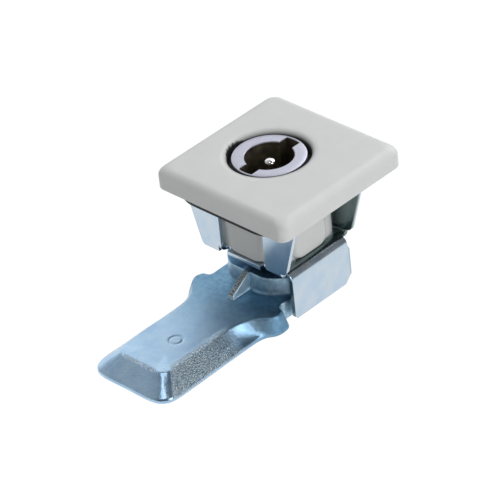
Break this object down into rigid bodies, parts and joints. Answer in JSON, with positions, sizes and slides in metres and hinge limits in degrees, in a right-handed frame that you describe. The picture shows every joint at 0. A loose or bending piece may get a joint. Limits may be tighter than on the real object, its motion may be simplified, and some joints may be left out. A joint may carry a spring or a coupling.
{
  "type": "square cam lock",
  "caption": "Square-flange quarter-turn cam lock with a double-bit key insert, a sheet-steel bracket with a stop plate, and an offset cast cam.",
  "frame": {"origin": "on the insert's turning axis, level with the underside of the flange, on the centre pin", "axes": "+Z out of the panel along the turning axis; the cam's blade points along -Y at rest; the bracket's stop plate is on +X"},
  "size_m": [0.045, 0.081, 0.0473],
  "materials": {
    "powder_coat": "satin light grey powder coat on a zinc die casting",
    "gasket_rubber": "matt black moulded rubber",
    "insert_zinc": "fine-grained plated face, dark in the socket",
    "pin_steel": "polished steel pin",
    "seal_rubber": "matt black rubber",
    "washer_steel": "bright zinc plate",
    "spring_steel": "dark phosphated spring steel",
    "plated_sheet": "smooth sheet steel, zinc plated with a pale blue passivation",
    "screw_steel": "bright zinc plate",
    "plated_casting": "zinc casting with pale blue passivation, grainy on its sloping sides"
  },
  "bodies": {
    "housing": {"housing": "powder_coat", "flange_gasket": "gasket_rubber", "bracket": "plated_sheet", "bracket_screw_front": "screw_steel", "bracket_screw_rear": "screw_steel"},
    "cam_shaft": {"key_insert": "insert_zinc", "centre_pin": "pin_steel", "insert_seal": "seal_rubber", "thrust_washer": "washer_steel", "circlip": "spring_steel", "cam": "plated_casting", "cam_flat_washer": "washer_steel", "cam_lock_washer": "washer_steel", "cam_screw": "screw_steel"}
  },
  "joints": [
    {"name": "quarter_turn", "type": "hinge", "parent": "housing", "child": "cam_shaft", "pos_m": [0, 0, 0], "axis": [0, 0, 1], "range_deg": [-90, 0]}
  ]
}
